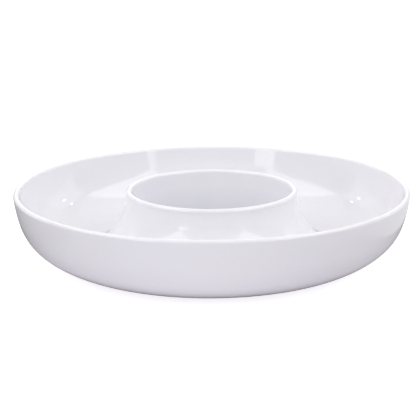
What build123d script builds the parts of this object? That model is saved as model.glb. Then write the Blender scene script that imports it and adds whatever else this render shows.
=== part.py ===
"""Glazed ceramic chip and dip server: a round tray with a ring-shaped trough for chips, and a
dip bowl that drops into the collar in the middle and hangs there by its rounded lip.

Millimetres, +Z up.  The origin is on the axis, in the plane that the foot ring stands on.
Both pieces are turned shapes, so each one is a half section in XZ, revolved about Z.
"""
import os
from math import cos, radians, sin, tan

from build123d import *

# ---- tray: outer wall, from the foot ring up to the rim ----
WALL = 4.8                 # thickness of the outer wall, and of its fully rounded rim
FOOT_OUTER = 111.0         # outer radius of the foot ring
FOOT_INNER = 105.0         # inner radius of the foot ring
FOOT_HEIGHT = 1.07         # height at which the belly springs from the foot ring
BELLY_START = 7.8          # slopes of the outer wall above horizontal, degrees
BELLY_END = 37.5
SHOULDER_END = 72.8
SIDE_END = 83.4
BELLY_RADIUS = 72.5        # radii of the three arcs between those slopes
SHOULDER_RADIUS = 43.0
SIDE_RADIUS = 120.5

# ---- tray: trough and central collar ----
TROUGH_RADIUS = 36.0       # rounded floor of the trough
TROUGH_MEETS_BELLY = 26.0  # slope at which the floor runs into the outer wall, degrees
TROUGH_MEETS_FLARE = 35.0  # slope at which the floor runs into the collar's flare, degrees
COLLAR_RADIUS = 71.7       # outer radius of the collar at its top, flush with the bowl's lip
SEAT_HEIGHT = 56.4         # flat top of the collar, which carries the dip bowl's lip
SEAT_EDGE = 0.25           # rounded edges of the seat

# ---- tray: well inside the collar, and the underside ----
WELL_RADIUS = 69.1
WELL_FLOOR_RADIUS = 68.2   # the well narrows slightly towards its floor
WELL_FLOOR = 8.0
WELL_CORNER = 5.0
BASE_HEIGHT = 3.5          # underside of the well, above the ground
BASE_EDGE = (72.6, BASE_HEIGHT)
BASE_EDGE_RADIUS = 3.0
GROOVE_TOP = (73.2, 29.8)  # ring-shaped hollow under the flare, which keeps the wall even
GROOVE_TOP_RADIUS = 2.2
GROOVE_BEND = (89.4, 12.0)
GROOVE_BEND_RADIUS = 22.0
FOOT_ROOT = (103.2, 5.0)   # where the hollow meets the foot ring
FOOT_ROOT_RADIUS = 2.0
FOOT_EDGE_INNER = 0.8
FOOT_EDGE_OUTER = 0.5

# ---- dip bowl ----
LIP_RADIUS = 2.5           # fully rounded lip
LIP_CENTRE = (69.2, 57.9)
LIP_EDGE = 0.25            # rounded lower edge of the lip
NECK_RADIUS = 68.8         # outside of the bowl just under its lip: 0.3 clear of the well
NECK_END = 54.0
NECK_ROOT = 0.2            # fillet between neck and lip
NECK_BEND = 40.0
BOWL_DRAFT = 4.0           # lean of the inner wall, degrees
BOWL_FLOOR = 13.4
BOWL_CORNER = 10.0
BOWL_BASE = 10.4           # underside of the bowl
BOWL_OUTER_CORNER = (65.8, BOWL_BASE)
BOWL_OUTER_BEND = 12.0
BOWL_FOOT = 9.2            # the bowl's own foot ring, which hangs clear of the well's floor
BOWL_FOOT_OUTER = 46.0
BOWL_FOOT_INNER = 41.5
BOWL_FOOT_SLOPE = 0.6      # how far the sides of that foot ring lean
BOWL_FOOT_EDGE = 0.5


def heading(slope):
    """Unit tangent at a slope above horizontal, in degrees."""
    return cos(radians(slope)), sin(radians(slope))


def follow(edge, radius, turn):
    """An arc that carries on from the end of another edge."""
    return JernArc(edge @ 1, edge % 1, radius, turn)


with BuildPart() as chip_tray:
    with BuildSketch(Plane.XZ):
        with BuildLine():
            # outside, from the foot ring over the rim
            belly = JernArc((FOOT_OUTER, FOOT_HEIGHT), heading(BELLY_START),
                            BELLY_RADIUS, BELLY_END - BELLY_START)
            shoulder = follow(belly, SHOULDER_RADIUS, SHOULDER_END - BELLY_END)
            side = follow(shoulder, SIDE_RADIUS, SIDE_END - SHOULDER_END)
            outer_rim = follow(side, WALL / 2, 90)
            inner_rim = follow(outer_rim, WALL / 2, 90)
            # inside, back down at an even wall thickness, then through the trough
            inner_side = follow(inner_rim, SIDE_RADIUS - WALL, SHOULDER_END - SIDE_END)
            inner_shoulder = follow(inner_side, SHOULDER_RADIUS - WALL, BELLY_END - SHOULDER_END)
            inner_belly = follow(inner_shoulder, BELLY_RADIUS - WALL, TROUGH_MEETS_BELLY - BELLY_END)
            trough = follow(inner_belly, TROUGH_RADIUS, -TROUGH_MEETS_BELLY - TROUGH_MEETS_FLARE)
            collar = TangentArc(trough @ 1, (COLLAR_RADIUS, SEAT_HEIGHT), tangent=trough % 1)
            # seat, well and floor
            FilletPolyline(
                collar @ 1,
                (WELL_RADIUS, SEAT_HEIGHT),
                (WELL_FLOOR_RADIUS, WELL_FLOOR),
                (0, WELL_FLOOR),
                radius=[SEAT_EDGE, WELL_CORNER],
            )
            Line((0, WELL_FLOOR), (0, BASE_HEIGHT))
            # underside of the well, hollow under the flare, and foot ring
            FilletPolyline(
                (0, BASE_HEIGHT),
                BASE_EDGE,
                GROOVE_TOP,
                GROOVE_BEND,
                FOOT_ROOT,
                (FOOT_INNER, 0),
                (FOOT_OUTER, 0),
                belly @ 0,
                radius=[BASE_EDGE_RADIUS, GROOVE_TOP_RADIUS, GROOVE_BEND_RADIUS,
                        FOOT_ROOT_RADIUS, FOOT_EDGE_INNER, FOOT_EDGE_OUTER],
            )
        make_face()
    revolve(axis=Axis.Z)
    seat_rim = chip_tray.edges().filter_by(GeomType.CIRCLE).filter_by(
        lambda edge: abs(edge.radius - COLLAR_RADIUS) < SEAT_EDGE / 10)
    fillet(seat_rim, SEAT_EDGE)
chip_tray.part.label = "chip_tray"


inner_corner = LIP_CENTRE[0] - LIP_RADIUS - (LIP_CENTRE[1] - BOWL_FLOOR) * tan(radians(BOWL_DRAFT))

with BuildPart() as dip_bowl:
    with BuildSketch(Plane.XZ):
        with BuildLine():
            # rounded lip, from its outermost line over the crest to where it meets the inner wall
            outer_lip = CenterArc(LIP_CENTRE, LIP_RADIUS, 0, 90)
            inner_lip = follow(outer_lip, LIP_RADIUS, 90 - BOWL_DRAFT)
            # inside
            FilletPolyline(
                inner_lip @ 1,
                (inner_corner, BOWL_FLOOR),
                (0, BOWL_FLOOR),
                radius=BOWL_CORNER,
            )
            Line((0, BOWL_FLOOR), (0, BOWL_BASE))
            # underside, foot ring, outside, neck, and the seat under the lip
            FilletPolyline(
                (0, BOWL_BASE),
                (BOWL_FOOT_INNER - BOWL_FOOT_SLOPE, BOWL_BASE),
                (BOWL_FOOT_INNER, BOWL_FOOT),
                (BOWL_FOOT_OUTER, BOWL_FOOT),
                (BOWL_FOOT_OUTER + BOWL_FOOT_SLOPE, BOWL_BASE),
                BOWL_OUTER_CORNER,
                (NECK_RADIUS, NECK_END),
                (NECK_RADIUS, SEAT_HEIGHT),
                (COLLAR_RADIUS, SEAT_HEIGHT),
                outer_lip @ 0,
                radius=[BOWL_FOOT_EDGE, BOWL_FOOT_EDGE, BOWL_FOOT_EDGE, BOWL_FOOT_EDGE,
                        BOWL_OUTER_BEND, NECK_BEND, NECK_ROOT, LIP_EDGE],
            )
        make_face()
    revolve(axis=Axis.Z)
dip_bowl.part.label = "dip_bowl"


os.makedirs("parts", exist_ok=True)
export_step(chip_tray.part, "parts/chip_tray.step")
export_step(dip_bowl.part, "parts/dip_bowl.step")
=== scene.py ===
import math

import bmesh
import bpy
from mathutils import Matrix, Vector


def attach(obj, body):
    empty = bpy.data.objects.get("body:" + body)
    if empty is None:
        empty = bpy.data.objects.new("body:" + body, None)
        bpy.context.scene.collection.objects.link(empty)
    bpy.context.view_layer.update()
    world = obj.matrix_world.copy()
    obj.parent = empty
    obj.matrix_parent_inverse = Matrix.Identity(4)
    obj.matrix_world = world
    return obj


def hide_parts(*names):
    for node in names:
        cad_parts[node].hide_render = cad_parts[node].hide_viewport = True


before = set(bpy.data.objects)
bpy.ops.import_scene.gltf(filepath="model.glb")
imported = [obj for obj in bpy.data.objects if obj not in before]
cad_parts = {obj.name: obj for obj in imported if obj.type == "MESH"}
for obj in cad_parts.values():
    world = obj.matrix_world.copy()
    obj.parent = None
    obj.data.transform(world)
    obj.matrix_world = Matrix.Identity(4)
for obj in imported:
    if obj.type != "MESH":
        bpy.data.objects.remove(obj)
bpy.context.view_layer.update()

# A glazed ceramic chip and dip server: the ring-shaped chip tray, and the dip bowl that hangs in its collar.
#
# Both visual pieces are turned like the real ones: a half section, drawn in millimetres from the same
# dimensions as the CAD pieces, is spun about Z, and every change of surface is a material of its own.

MM = 0.001
STEPS_ROUND = 264          # facets round the axis
LONGEST_RUN = 2.4          # longest facet of a section, mm
SHARPEST_TURN = 7.5        # most that a section turns in one facet, degrees


# ---------------------------------------------------------------- sections

class Section:
    """A half section drawn with a pen, in millimetres: (radius, height) points and the finish of each run."""

    def __init__(self, r, z, heading, finish):
        self.points = [(r, z)]
        self.finishes = []
        self.heading = heading
        self.finish = finish

    def _add(self, r, z):
        self.points.append((r, z))
        self.finishes.append(self.finish)

    def arc(self, radius, turn):
        """A tangent arc: a positive turn, in degrees, goes left."""
        steps = max(1, math.ceil(abs(turn) / SHARPEST_TURN),
                    math.ceil(radius * math.radians(abs(turn)) / LONGEST_RUN))
        side = math.copysign(1, turn)
        r, z = self.points[-1]
        a = math.radians(self.heading)
        centre = (r - side * radius * math.sin(a), z + side * radius * math.cos(a))
        for i in range(1, steps + 1):
            b = a + math.radians(turn) * i / steps
            self._add(centre[0] + side * radius * math.sin(b), centre[1] - side * radius * math.cos(b))
        self.heading += turn
        return self

    def arc_to(self, r, z):
        """The tangent arc that ends at a point."""
        x, y = self.points[-1]
        chord = math.hypot(r - x, z - y)
        half = math.degrees(math.atan2(z - y, r - x)) - self.heading
        half = (half + 180) % 360 - 180
        return self.arc(chord / 2 / abs(math.sin(math.radians(half))), 2 * half)

    def line_to(self, r, z):
        x, y = self.points[-1]
        length = math.hypot(r - x, z - y)
        steps = max(1, math.ceil(length / LONGEST_RUN))
        self.heading = math.degrees(math.atan2(z - y, r - x))
        for i in range(1, steps + 1):
            self._add(x + (r - x) * i / steps, y + (z - y) * i / steps)
        return self

    def corners(self, corners, end):
        """Straight runs whose corners, ((r, z), radius), are rounded."""
        stops = [corner for corner, _ in corners] + [end]
        for i, (corner, radius) in enumerate(corners):
            x, y = self.points[-1]
            into = math.degrees(math.atan2(corner[1] - y, corner[0] - x))
            out = math.degrees(math.atan2(stops[i + 1][1] - corner[1], stops[i + 1][0] - corner[0]))
            turn = (out - into + 180) % 360 - 180
            back = radius * math.tan(math.radians(abs(turn)) / 2)
            a = math.radians(into)
            self.line_to(corner[0] - back * math.cos(a), corner[1] - back * math.sin(a))
            self.arc(radius, turn)
        return self.line_to(*end)


# tray, in the order of its section: foot ring, outer wall, trough, collar, well, underside
WALL = 4.8
FOOT_OUTER, FOOT_INNER, FOOT_HEIGHT = 111.0, 105.0, 1.07
SLOPES = (7.8, 37.5, 72.8, 83.4)     # of the outer wall where its arcs meet, degrees
RADII = (72.5, 43.0, 120.5)          # of belly, shoulder and side
TROUGH_RADIUS, TROUGH_MEETS_BELLY, TROUGH_MEETS_FLARE = 36.0, 26.0, 35.0
COLLAR_RADIUS, SEAT_HEIGHT, SEAT_EDGE = 71.7, 56.4, 0.25
WELL_RADIUS, WELL_FLOOR_RADIUS, WELL_FLOOR, WELL_CORNER = 69.1, 68.2, 8.0, 5.0
BASE_HEIGHT = 3.5
UNDERSIDE = [((72.6, BASE_HEIGHT), 3.0), ((73.2, 29.8), 2.2), ((89.4, 12.0), 22.0), ((103.2, 5.0), 2.0)]
GLAZE = 0.25                         # how far the glaze stands proud of the bare foot ring


def tray_section():
    s = Section(0, BASE_HEIGHT, 0, "glaze")
    s.corners(UNDERSIDE, (FOOT_INNER - 0.36, 1.0))
    s.finish = "bisque"
    s.corners([((FOOT_INNER, 0), 0.5), ((FOOT_OUTER - GLAZE, 0), 0.4)], (FOOT_OUTER - GLAZE, 0.6))
    s.finish = "glaze"
    s.corners([((FOOT_OUTER, 0.6), 0.2)], (FOOT_OUTER, FOOT_HEIGHT))
    s.heading = SLOPES[0]
    for radius, slope, next_slope in zip(RADII, SLOPES, SLOPES[1:]):
        s.arc(radius, next_slope - slope)
    s.arc(WALL / 2, 180)
    for radius, slope, next_slope in zip(RADII[::-1], SLOPES[::-1], (SLOPES[2], SLOPES[1], TROUGH_MEETS_BELLY)):
        s.arc(radius - WALL, next_slope - slope)
    s.arc(TROUGH_RADIUS, -TROUGH_MEETS_BELLY - TROUGH_MEETS_FLARE)
    s.arc_to(COLLAR_RADIUS, SEAT_HEIGHT - SEAT_EDGE)
    s.corners([((COLLAR_RADIUS, SEAT_HEIGHT), SEAT_EDGE * 0.9)], (COLLAR_RADIUS - 0.7, SEAT_HEIGHT))
    s.finish = "bisque"
    s.corners([((WELL_RADIUS, SEAT_HEIGHT), SEAT_EDGE)], (WELL_RADIUS, SEAT_HEIGHT - 1.5))
    s.finish = "glaze"
    s.corners([((WELL_FLOOR_RADIUS, WELL_FLOOR), WELL_CORNER)], (0, WELL_FLOOR))
    return s


# dip bowl
LIP_RADIUS, LIP_CENTRE = 2.5, (69.2, 57.9)
NECK_RADIUS, NECK_END, NECK_BEND = 68.8, 54.0, 40.0
BOWL_DRAFT, BOWL_FLOOR, BOWL_CORNER = 4.0, 13.4, 10.0
BOWL_BASE, BOWL_FOOT = 10.4, 9.2
BOWL_FOOT_OUTER, BOWL_FOOT_INNER = 46.0, 41.5
BOWL_OUTER_CORNER, BOWL_OUTER_BEND = (65.8, BOWL_BASE), 12.0


def bowl_section():
    corner = LIP_CENTRE[0] - LIP_RADIUS - (LIP_CENTRE[1] - BOWL_FLOOR) * math.tan(math.radians(BOWL_DRAFT))
    s = Section(0, BOWL_BASE, 0, "glaze")
    s.corners([((BOWL_FOOT_INNER - 0.6, BOWL_BASE), 0.5)], (BOWL_FOOT_INNER - 0.3, BOWL_BASE - 0.6))
    s.finish = "bisque"
    s.corners([((BOWL_FOOT_INNER, BOWL_FOOT), 0.4), ((BOWL_FOOT_OUTER, BOWL_FOOT), 0.4)],
              (BOWL_FOOT_OUTER + 0.3, BOWL_BASE - 0.6))
    s.finish = "glaze"
    s.corners([((BOWL_FOOT_OUTER + 0.6, BOWL_BASE), 0.5), (BOWL_OUTER_CORNER, BOWL_OUTER_BEND),
               ((NECK_RADIUS, NECK_END), NECK_BEND)], (NECK_RADIUS, SEAT_HEIGHT - 1.5))
    s.finish = "bisque"
    s.corners([((NECK_RADIUS, SEAT_HEIGHT), 0.2)], (COLLAR_RADIUS - 0.7, SEAT_HEIGHT))
    s.finish = "glaze"
    s.corners([((COLLAR_RADIUS, SEAT_HEIGHT), SEAT_EDGE)], (COLLAR_RADIUS, SEAT_HEIGHT + 0.3))
    s.line_to(COLLAR_RADIUS, LIP_CENTRE[1])
    s.arc(LIP_RADIUS, 90)
    s.arc(LIP_RADIUS, 90 - BOWL_DRAFT)
    s.corners([((corner, BOWL_FLOOR), BOWL_CORNER)], (0, BOWL_FLOOR))
    return s


# ---------------------------------------------------------------- turning

def turned(name, section, materials):
    """Spins a half section about Z into one closed mesh."""
    mesh = bpy.data.meshes.new(name)
    bm = bmesh.new()
    rings = []
    for r, z in section.points:
        if r < 1e-6:
            rings.append([bm.verts.new((0, 0, z * MM))])
            continue
        rings.append([bm.verts.new((r * MM * math.cos(a), r * MM * math.sin(a), z * MM))
                      for a in (2 * math.pi * i / STEPS_ROUND for i in range(STEPS_ROUND))])
    slots = list(materials)
    for lower, upper, finish in zip(rings, rings[1:], section.finishes):
        for i in range(STEPS_ROUND):
            j = (i + 1) % STEPS_ROUND
            corners = [lower[i % len(lower)], lower[j % len(lower)], upper[j % len(upper)], upper[i % len(upper)]]
            face = bm.faces.new(dict.fromkeys(corners))
            face.material_index = slots.index(finish)
            face.smooth = True
    bmesh.ops.recalc_face_normals(bm, faces=bm.faces)
    bm.to_mesh(mesh)
    bm.free()
    for finish in slots:
        mesh.materials.append(materials[finish])
    piece = bpy.data.objects.new(name, mesh)
    bpy.context.scene.collection.objects.link(piece)
    return piece


# ---------------------------------------------------------------- materials

class Nodes:
    """Builds one material: every add() makes a node, and an input given as a node's output is linked."""

    def __init__(self, name):
        self.material = bpy.data.materials.new(name)
        self.material.use_nodes = True
        self.tree = self.material.node_tree
        self.tree.nodes.clear()
        self.shader = self.add("ShaderNodeBsdfPrincipled", {})
        self.add("ShaderNodeOutputMaterial", {"Surface": self.shader.outputs["BSDF"]})
        self.place = self.add("ShaderNodeTexCoord", {}).outputs["Object"]

    def set(self, node, inputs):
        for key, value in inputs.items():
            if isinstance(value, bpy.types.NodeSocket):
                self.tree.links.new(value, node.inputs[key])
            else:
                node.inputs[key].default_value = value

    def add(self, kind, inputs, **settings):
        node = self.tree.nodes.new(kind)
        for key, value in settings.items():
            setattr(node, key, value)
        self.set(node, inputs)
        return node

    def noise(self, per_metre, detail=2.0, roughness=0.5):
        """Soft noise in 0..1 with about this many lumps to the metre."""
        return self.add("ShaderNodeTexNoise", {"Vector": self.place, "Scale": per_metre, "Detail": detail,
                                               "Roughness": roughness}).outputs["Fac"]

    def spread(self, value, low, high, to_low, to_high):
        """Carries low..high over to to_low..to_high, held at both ends."""
        return self.add("ShaderNodeMapRange", {"Value": value, "From Min": low, "From Max": high,
                                               "To Min": to_low, "To Max": to_high}).outputs["Result"]

    def blend(self, factor, first, second):
        mix = self.add("ShaderNodeMix", {}, data_type="RGBA")
        self.set(mix, {0: factor})
        for socket, value in ((6, first), (7, second)):
            if isinstance(value, bpy.types.NodeSocket):
                self.tree.links.new(value, mix.inputs[socket])
            else:
                mix.inputs[socket].default_value = (*value, 1)
        return mix.outputs[2]

    def bump(self, height, millimetres, under=None):
        inputs = {"Height": height, "Strength": 1.0, "Distance": millimetres * MM}
        if under is not None:
            inputs["Normal"] = under
        return self.add("ShaderNodeBump", inputs).outputs["Normal"]


GLAZE_COOL, GLAZE_WARM = (0.805, 0.799, 0.841), (0.815, 0.806, 0.836)
GLAZE_THIN = (0.792, 0.785, 0.820)
# painted shade: the deeper glaze tone towards the bottom of the dip bowl and of the tray
GLAZE_PAINTED_SHADE = (0.705, 0.703, 0.752)
SPECK = (0.52, 0.49, 0.45)
CLAY_LIGHT, CLAY, CLAY_STAIN = (0.82, 0.79, 0.73), (0.74, 0.69, 0.61), (0.64, 0.57, 0.48)


def glaze_material(name, pool_top, shade_depth):
    """Clear, glossy glaze over a white body: it lies in long, very low waves, with a faint orange peel.

    Painted shade: the glaze is painted darker towards the bottom, from the given top height, in millimetres,
    down over the given depth.
    """
    made = Nodes(name)
    cloud = made.spread(made.noise(11, 3), 0.35, 0.65, 0, 1)
    mottle = made.spread(made.noise(260, 3, 0.6), 0.4, 0.75, 0, 1)
    speck = made.spread(made.noise(1500, 1), 0.775, 0.80, 0, 0.35)
    colour = made.blend(cloud, GLAZE_COOL, GLAZE_WARM)
    colour = made.blend(made.spread(mottle, 0, 1, 0, 0.5), colour, GLAZE_THIN)
    colour = made.blend(speck, colour, SPECK)
    height = made.add("ShaderNodeSeparateXYZ", {"Vector": made.place}).outputs["Z"]
    # painted shade: darker towards the bottom, from the top height down over the depth
    pool = made.spread(height, pool_top * MM, (pool_top - shade_depth) * MM, 0, 1)
    colour = made.blend(pool, colour, GLAZE_PAINTED_SHADE)
    waves = made.bump(made.noise(34, 1, 0.4), 0.10)
    peel = made.bump(made.noise(620, 1), 0.0015, waves)
    made.set(made.shader, {"Base Color": colour, "Normal": peel, "IOR": 1.52,
                           "Roughness": made.spread(made.noise(70, 2), 0.3, 0.7, 0.006, 0.018)})
    return made.material


def bisque_material():
    """Bare fired clay where the glaze was wiped off: warm, dry and finely grained."""
    made = Nodes("bisque")
    grain = made.noise(1400, 4, 0.7)
    stain = made.spread(made.noise(45, 3), 0.4, 0.7, 0, 1)
    colour = made.blend(stain, CLAY, CLAY_STAIN)
    colour = made.blend(made.spread(grain, 0.45, 0.7, 0, 0.4), colour, CLAY_LIGHT)
    made.set(made.shader, {"Base Color": colour, "IOR": 1.45, "Normal": made.bump(grain, 0.09),
                           "Roughness": made.spread(grain, 0.3, 0.7, 0.72, 0.92)})
    return made.material


bisque = bisque_material()
# painted shade: the tray's glaze darkens in its lowest 4 mm, next to the floor, and the dip bowl's darkens from 46 mm
# down to 20 mm
tray = turned("glazed_tray", tray_section(), {"glaze": glaze_material("tray_glaze", 4, 4), "bisque": bisque})
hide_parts("chip_tray")
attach(tray, "tray")
bowl = turned("glazed_dip_bowl", bowl_section(), {"glaze": glaze_material("bowl_glaze", 46, 26), "bisque": bisque})
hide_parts("dip_bowl")
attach(bowl, "bowl")


# ---------------------------------------------------------------- studio

BLACK = 0.03               # albedo of the screens and flags, which get the rest of their brightness from a glow
# how bright each part of the studio looks from the server
SURROUND, SCREEN = 0.6, 0.28
BOX, STRIP_LEFT, STRIP_RIGHT, SIDE_STRIP = 2.0, 2.2, 1.4, 0.70
BACK, WALL_BACK, WINDOW, BOX_SIDE = 1.5, 0.3, 7.0, 0.5
FLAG_LEFT, FLAG_RIGHT = 0.29, 0.76
# distance of the screens and of the lamps behind them, metres
FAR, FARTHER = 2.0, 2.1
# floor paper: its own tone, its glow, a painted pool of light in front of the server that stops short of its base,
# and its lift to the camera
FLOOR, PAINTED_FLOOR_LIGHT, FLOOR_LIFT = (0.415, 0.400, 0.435), 0.50, 0.88
POOL_OF_LIGHT, POOL_REACH, CONTACT = (-0.02, -0.22, 0), (0.05, 0.32), (0.117, 0.145)
FLOOR_HALF = 6.0
# camera: metres and degrees
DISTANCE, ELEVATION, ROLL = 1.254, 14.57, -0.38
AIM = (-0.00315, 0, 0.0438)
SENSOR, FOCAL_LENGTH = 36.0, 129.25


def toward(azimuth, elevation, distance):
    """A point seen from the server: azimuth 0 is the camera's side, and positive goes to the right."""
    a, e = math.radians(azimuth), math.radians(elevation)
    return distance * Vector((math.sin(a) * math.cos(e), -math.cos(a) * math.cos(e), math.sin(e)))


def panel_frame(first, second):
    """Centre line, across and up vectors of a panel that stands on the line first-second and faces the server."""
    across = (second - first).normalized()
    middle = (first + second) / 2
    facing = (-middle + middle.dot(across) * across).normalized()
    return middle, across, across.cross(-facing).normalized(), facing


def soft_box(name, first, second, height, radiance):
    """A soft box with its lower edge on the line first-second."""
    middle, across, up, facing = panel_frame(first, second)
    if up.z < 0:
        up = -up
    data = bpy.data.lights.new(name, "AREA")
    data.shape = "RECTANGLE"
    data.size, data.size_y = (second - first).length, height
    data.energy = radiance * math.pi * data.size * data.size_y
    light = bpy.data.objects.new(name, data)
    back = -facing
    side = up.cross(back).normalized()
    turn = Matrix((side, up, back)).transposed().to_4x4()
    light.matrix_world = Matrix.Translation(middle + up * height / 2) @ turn
    light.visible_camera = False
    bpy.context.scene.collection.objects.link(light)


def card(name, corners, albedo, glow):
    """A dark card with a dim glow, which shades the server and shows in its glaze."""
    mesh = bpy.data.meshes.new(name)
    mesh.from_pydata(corners, [], [tuple(range(len(corners)))])
    made = Nodes(name)
    made.set(made.shader, {"Base Color": (albedo, albedo, albedo, 1), "Roughness": 0.9,
                           "Emission Color": (1, 1, 1, 1), "Emission Strength": glow})
    mesh.materials.append(made.material)
    surface = bpy.data.objects.new(name, mesh)
    surface.visible_camera = False
    bpy.context.scene.collection.objects.link(surface)


def floor():
    """Pale paper sweep with a painted pool of light: it glows just in front of the server, but not near its base, and
    is knocked out to white in the picture.
    """
    mesh = bpy.data.meshes.new("floor")
    corners = [(x * FLOOR_HALF, y * FLOOR_HALF, 0) for x, y in ((-1, -1), (1, -1), (1, 1), (-1, 1))]
    mesh.from_pydata(corners, [], [(0, 1, 2, 3)])
    made = Nodes("floor_paper")
    # painted pool of light: the floor glows in front of the server, and the glow fades out near its base
    reach = made.add("ShaderNodeVectorMath", {0: made.place, 1: POOL_OF_LIGHT}, operation="DISTANCE").outputs["Value"]
    glow = made.spread(reach, *POOL_REACH, PAINTED_FLOOR_LIGHT, 0)
    radius = made.add("ShaderNodeVectorMath", {0: made.place}, operation="LENGTH").outputs["Value"]
    clear = made.spread(radius, *CONTACT, 0, 1)
    glow = made.add("ShaderNodeMath", {0: glow, 1: clear}, operation="MULTIPLY").outputs["Value"]
    seen = made.add("ShaderNodeLightPath", {}).outputs["Is Camera Ray"]
    lift = made.add("ShaderNodeMapRange", {"Value": seen, "To Min": glow, "To Max": FLOOR_LIFT}).outputs["Result"]
    made.set(made.shader, {"Base Color": (*FLOOR, 1), "Roughness": 0.9,
                           "Emission Color": (0.985, 0.965, 1.0, 1), "Emission Strength": lift})
    mesh.materials.append(made.material)
    surface = bpy.data.objects.new("floor", mesh)
    bpy.context.scene.collection.objects.link(surface)


def camera():
    data = bpy.data.cameras.new("camera")
    data.sensor_width = SENSOR
    data.lens = FOCAL_LENGTH
    data.clip_start, data.clip_end = 0.05, 30
    view = bpy.data.objects.new("camera", data)
    tilt = Matrix.Rotation(math.radians(90 - ELEVATION), 4, "X") @ Matrix.Rotation(math.radians(ROLL), 4, "Z")
    view.matrix_world = Matrix.Translation(Vector(AIM) + toward(0, ELEVATION, DISTANCE)) @ tilt
    bpy.context.scene.collection.objects.link(view)
    bpy.context.scene.camera = view


def surround():
    """An even grey surround, knocked out to white in the picture."""
    world = bpy.data.worlds.new("studio")
    world.use_nodes = True
    background = world.node_tree.nodes["Background"]
    background.inputs["Color"].default_value = (1, 1, 1, 1)
    seen = world.node_tree.nodes.new("ShaderNodeLightPath").outputs["Is Camera Ray"]
    knock_out = world.node_tree.nodes.new("ShaderNodeMapRange")
    knock_out.inputs["To Min"].default_value, knock_out.inputs["To Max"].default_value = SURROUND, 1.0
    world.node_tree.links.new(seen, knock_out.inputs["Value"])
    world.node_tree.links.new(knock_out.outputs["Result"], background.inputs["Strength"])
    bpy.context.scene.world = world


floor()
camera()

# dim screens, which show as the darker panels on the inner wall, and low flags beside the outer wall
card("screen_front", [toward(-28, 1, FAR), toward(4, 1, FAR), toward(36, 1, FAR),
                      toward(36, 14, FAR), toward(4, 15, FAR), toward(-28, 14, FAR)], BLACK, SCREEN)
card("screen_right", [toward(43, 1, FAR), toward(72, 1, FAR), toward(100, 1, FAR),
                      toward(100, 32, FAR), toward(72, 26, FAR), toward(43, 16, FAR)], BLACK, SCREEN)
card("screen_left", [toward(-43, 1, FAR), toward(-74, 1, FAR), toward(-106, 1, FAR),
                     toward(-106, 33, FAR), toward(-74, 26, FAR), toward(-43, 16, FAR)], BLACK, SCREEN)
for side, name, dim in ((-1, "flag_left", FLAG_LEFT), (1, "flag_right", FLAG_RIGHT)):
    card(name, [(side * 0.200, -0.12, 0.001), (side * 0.200, 0.32, 0.001),
                (side * 0.206, 0.32, 0.05), (side * 0.206, -0.12, 0.05)], BLACK, dim)

# soft boxes above the screens, strips between them, and the lights behind the server
soft_box("box_right", toward(40, 16, FARTHER), toward(104, 33, FARTHER), 1.15, BOX)
soft_box("box_left", toward(-40, 16, FARTHER), toward(-104, 33, FARTHER), 1.15, BOX)
soft_box("strip_left", toward(-29, 3, FARTHER), toward(-42, 3, FARTHER), 0.5, STRIP_LEFT)
soft_box("strip_right", toward(37, 3, FARTHER), toward(42, 3, FARTHER), 0.5, STRIP_RIGHT)
soft_box("strip_side_right", toward(101, 2, FARTHER), toward(132, 2, FARTHER), 1.1, SIDE_STRIP)
soft_box("strip_side_left", toward(-107, 2, FARTHER), toward(-132, 2, FARTHER), 1.1, SIDE_STRIP)
soft_box("box_back", toward(162, 15, FARTHER), toward(-162, 15, FARTHER), 0.42, BACK)
soft_box("box_side_left", toward(-104, 34, FARTHER), toward(-158, 40, FARTHER), 0.85, BOX_SIDE)
soft_box("box_side_right", toward(104, 34, FARTHER), toward(158, 40, FARTHER), 0.85, BOX_SIDE)
soft_box("wall_back", toward(132, 1, FARTHER), toward(-132, 1, FARTHER), 1.35, WALL_BACK)
for side, name in ((-1, "left"), (1, "right")):
    soft_box("window_low_" + name, toward(side * 118, 21, FARTHER), toward(side * 121, 21, FARTHER), 0.09, WINDOW)
    soft_box("window_high_" + name, toward(side * 120, 31, FARTHER), toward(side * 124, 31, FARTHER), 0.06, WINDOW)

surround()
bpy.context.scene.view_settings.view_transform = "Standard"
